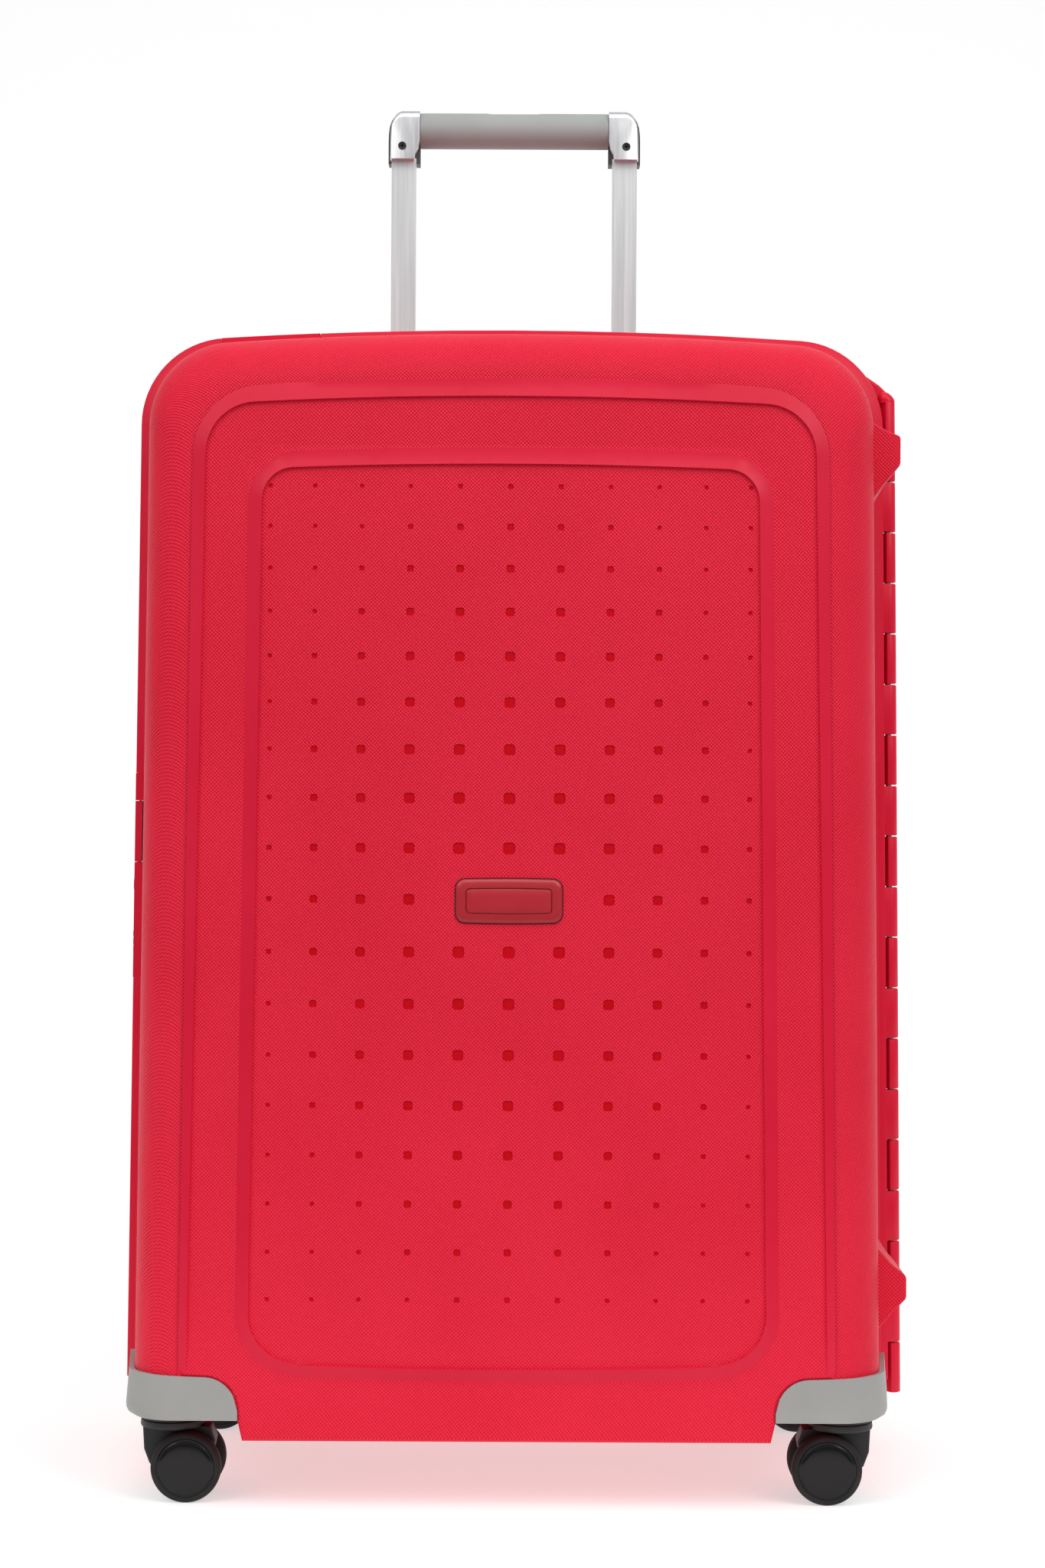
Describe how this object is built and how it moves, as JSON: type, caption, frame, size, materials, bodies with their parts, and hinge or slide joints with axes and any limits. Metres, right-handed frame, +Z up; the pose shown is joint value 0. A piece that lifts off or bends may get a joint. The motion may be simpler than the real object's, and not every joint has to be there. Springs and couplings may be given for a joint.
{
  "type": "hard-shell upright suitcase",
  "caption": "Upright hard-shell suitcase with a telescopic handle, side-hinged shells, latches, folding carry handles and swivelling twin-wheel casters.",
  "frame": {"origin": "on the floor under the middle of the case", "axes": "+Z up, -Y towards the front face, +X towards the hinge side"},
  "size_m": [0.5162, 0.306, 0.925],
  "materials": {
    "shell_red": "satin moulded polypropylene with fine grain",
    "guard_grey": "smooth matte moulded plastic",
    "grip_grey": "soft-touch grip",
    "bracket_chrome": "satin chrome",
    "tube_aluminium": "satin anodised",
    "steel": "plain steel",
    "black_plastic": "matte moulded plastic",
    "hub_black": "glossy moulded plastic",
    "tyre_rubber": "soft rubber tread",
    "lining_fabric": "woven polyester lining",
    "strap_fabric": "woven webbing",
    "badge_red": "satin badge, blank"
  },
  "bodies": {
    "rear_case": {"rear_shell": "shell_red", "rear_lining": "lining_fabric", "rear_guard_left": "guard_grey", "rear_guard_right": "guard_grey", "rear_caster_housings": "black_plastic", "hinge_pin": "steel", "rear_cross_ribbons": "strap_fabric", "ribbon_buckle": "black_plastic", "latch_pins": "steel", "lock_housing": "shell_red", "handle_mounts": "black_plastic", "handle_pins": "steel", "trolley_outer_tubes": "tube_aluminium", "trolley_base": "black_plastic", "trolley_top_housing": "black_plastic"},
    "front_case": {"front_shell": "shell_red", "front_lining": "lining_fabric", "front_guard_left": "guard_grey", "front_guard_right": "guard_grey", "front_caster_housings": "black_plastic", "badge_plate": "badge_red", "badge_frame": "badge_red", "divider_panel": "lining_fabric"},
    "trolley": {"trolley_inner_tubes": "tube_aluminium", "grip_tube": "grip_grey", "grip_bracket_left": "bracket_chrome", "grip_bracket_right": "bracket_chrome", "bracket_screws": "steel"},
    "grip_button_set": {"grip_button": "grip_grey"},
    "release_rod_set": {"release_rods": "steel"},
    "lock_pin_left": {"lock_pin_left": "steel"},
    "lock_pin_right": {"lock_pin_right": "steel"},
    "top_handle": {"top_handle": "grip_grey"},
    "side_handle": {"side_handle": "grip_grey"},
    "top_latch": {"top_latch_lever": "shell_red"},
    "bottom_latch": {"bottom_latch_lever": "shell_red"},
    "center_latch": {"center_latch_lever": "shell_red"},
    "lock_dial_1": {"lock_dial_1": "black_plastic"},
    "lock_dial_2": {"lock_dial_2": "black_plastic"},
    "lock_dial_3": {"lock_dial_3": "black_plastic"},
    "lock_button": {"lock_button": "guard_grey"},
    "lock_cylinder": {"lock_cylinder": "steel"},
    "caster_fl": {"caster_fork_fl": "black_plastic", "caster_axle_fl": "steel"},
    "wheel_fl": {"caster_hubs_fl": "hub_black", "caster_tyres_fl": "tyre_rubber"},
    "caster_fr": {"caster_fork_fr": "black_plastic", "caster_axle_fr": "steel"},
    "wheel_fr": {"caster_hubs_fr": "hub_black", "caster_tyres_fr": "tyre_rubber"},
    "caster_rl": {"caster_fork_rl": "black_plastic", "caster_axle_rl": "steel"},
    "wheel_rl": {"caster_hubs_rl": "hub_black", "caster_tyres_rl": "tyre_rubber"},
    "caster_rr": {"caster_fork_rr": "black_plastic", "caster_axle_rr": "steel"},
    "wheel_rr": {"caster_hubs_rr": "hub_black", "caster_tyres_rr": "tyre_rubber"}
  },
  "joints": [
    {"name": "lid_hinge", "type": "hinge", "parent": "rear_case", "child": "front_case", "pos_m": [0.2557, 0, 0.046], "axis": [-0.0105, 0, 0.9999], "range_deg": [0, 180]},
    {"name": "trolley_slide", "type": "slide", "parent": "rear_case", "child": "trolley", "axis": [0, 0, 1], "range_m": [-0.183, 0.125]},
    {"name": "grip_button_press", "type": "slide", "parent": "trolley", "child": "grip_button_set", "axis": [0, 0, -1], "range_m": [0, 0.003]},
    {"name": "release_rod_slide", "type": "slide", "parent": "trolley", "child": "release_rod_set", "axis": [0, 0, -1], "range_m": [0, 0.003]},
    {"name": "lock_pin_left_slide", "type": "slide", "parent": "trolley", "child": "lock_pin_left", "axis": [1, 0, 0], "range_m": [0, 0.003]},
    {"name": "lock_pin_right_slide", "type": "slide", "parent": "trolley", "child": "lock_pin_right", "axis": [-1, 0, 0], "range_m": [0, 0.003]},
    {"name": "top_handle_pivot", "type": "hinge", "parent": "rear_case", "child": "top_handle", "pos_m": [0, 0.05, 0.746], "axis": [1, 0, 0], "range_deg": [0, 90]},
    {"name": "side_handle_pivot", "type": "hinge", "parent": "rear_case", "child": "side_handle", "pos_m": [-0.247, 0.05, 0.388], "axis": [0, 0, 1], "range_deg": [0, 90]},
    {"name": "center_latch_pivot", "type": "hinge", "parent": "rear_case", "child": "center_latch", "pos_m": [-0.2468, 0.0044, 0.4165], "axis": [-0.0107, 0, -0.9999], "range_deg": [0, 95]},
    {"name": "bottom_latch_pivot", "type": "hinge", "parent": "rear_case", "child": "bottom_latch", "pos_m": [-0.16, 0.0044, 0.03915], "axis": [1, 0, 0], "range_deg": [0, 95]},
    {"name": "top_latch_pivot", "type": "hinge", "parent": "rear_case", "child": "top_latch", "pos_m": [-0.16, 0.0044, 0.74334], "axis": [-0.9986, 0, -0.0531], "range_deg": [0, 95]},
    {"name": "lock_dial_1_turn", "type": "hinge", "parent": "rear_case", "child": "lock_dial_1", "pos_m": [-0.24719, 0, 0.338], "axis": [0, 0, 1], "continuous": true},
    {"name": "lock_dial_2_turn", "type": "hinge", "parent": "rear_case", "child": "lock_dial_2", "pos_m": [-0.24719, 0, 0.3432], "axis": [0, 0, 1], "continuous": true},
    {"name": "lock_dial_3_turn", "type": "hinge", "parent": "rear_case", "child": "lock_dial_3", "pos_m": [-0.24719, 0, 0.3484], "axis": [0, 0, 1], "continuous": true},
    {"name": "lock_button_press", "type": "slide", "parent": "rear_case", "child": "lock_button", "axis": [1, 0, 0], "range_m": [0, 0.002]},
    {"name": "lock_cylinder_turn", "type": "hinge", "parent": "rear_case", "child": "lock_cylinder", "pos_m": [-0.24902, 0, 0.363], "axis": [1, 0, 0], "range_deg": [0, 90]},
    {"name": "caster_fl_swivel", "type": "hinge", "parent": "front_case", "child": "caster_fl", "pos_m": [-0.21, -0.107, 0.05], "axis": [0, 0, 1], "continuous": true},
    {"name": "wheel_fl_roll", "type": "hinge", "parent": "caster_fl", "child": "wheel_fl", "pos_m": [-0.2, -0.107, 0.022], "axis": [0, 1, 0], "continuous": true},
    {"name": "caster_fr_swivel", "type": "hinge", "parent": "front_case", "child": "caster_fr", "pos_m": [0.21, -0.107, 0.05], "axis": [0, 0, 1], "continuous": true},
    {"name": "wheel_fr_roll", "type": "hinge", "parent": "caster_fr", "child": "wheel_fr", "pos_m": [0.2, -0.107, 0.022], "axis": [0, 1, 0], "continuous": true},
    {"name": "caster_rl_swivel", "type": "hinge", "parent": "rear_case", "child": "caster_rl", "pos_m": [-0.21, 0.107, 0.05], "axis": [0, 0, 1], "continuous": true},
    {"name": "wheel_rl_roll", "type": "hinge", "parent": "caster_rl", "child": "wheel_rl", "pos_m": [-0.2, 0.107, 0.022], "axis": [0, 1, 0], "continuous": true},
    {"name": "caster_rr_swivel", "type": "hinge", "parent": "rear_case", "child": "caster_rr", "pos_m": [0.21, 0.107, 0.05], "axis": [0, 0, 1], "continuous": true},
    {"name": "wheel_rr_roll", "type": "hinge", "parent": "caster_rr", "child": "wheel_rr", "pos_m": [0.2, 0.107, 0.022], "axis": [0, 1, 0], "continuous": true}
  ],
  "couplings": [
    {"joint": "release_rod_slide", "follows": "grip_button_press", "ratio": 1},
    {"joint": "lock_pin_left_slide", "follows": "grip_button_press", "ratio": 1},
    {"joint": "lock_pin_right_slide", "follows": "grip_button_press", "ratio": 1}
  ]
}
